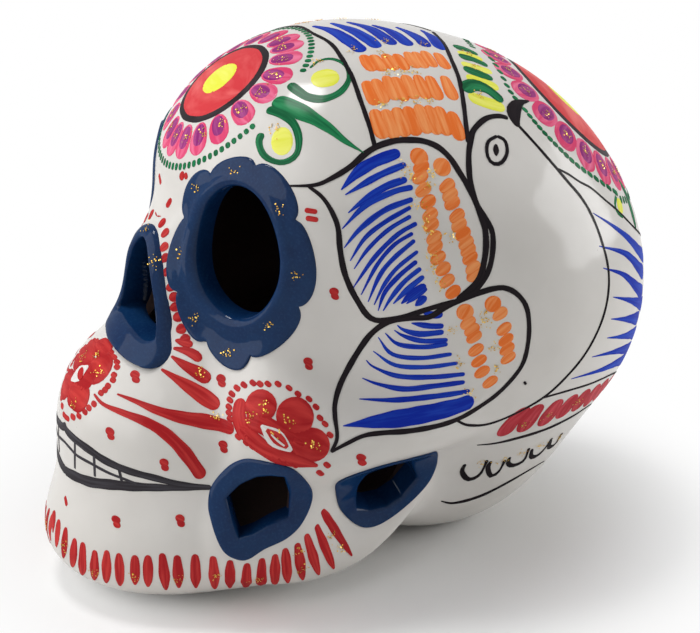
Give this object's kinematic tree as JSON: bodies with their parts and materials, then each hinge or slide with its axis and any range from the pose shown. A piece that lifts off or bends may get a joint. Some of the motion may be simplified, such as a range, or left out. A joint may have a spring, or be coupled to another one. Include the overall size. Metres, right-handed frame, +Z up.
{
  "type": "decorated clay skull",
  "caption": "Hollow painted clay skull that stands on a table as a seasonal decoration, with flower-shaped eye openings and enamel-lined nose, jaw and cheek openings.",
  "frame": {"origin": "on the table plane, under the middle of the skull's box", "axes": "+Z up, -Y the way the face looks, +X towards the skull's own left side"},
  "size_m": [0.1158, 0.171, 0.143],
  "materials": {
    "painted_clay": "white slip with painted ornament under a gloss varnish",
    "blue_enamel": "thick glossy dark blue enamel"
  },
  "bodies": {
    "root": {"left_skull_half": "painted_clay", "right_skull_half": "painted_clay", "left_eye_collar": "blue_enamel", "right_eye_collar": "blue_enamel", "nose_collar": "blue_enamel", "left_jaw_collar": "blue_enamel", "right_jaw_collar": "blue_enamel", "left_arch_collar": "blue_enamel", "right_arch_collar": "blue_enamel"}
  },
  "joints": []
}
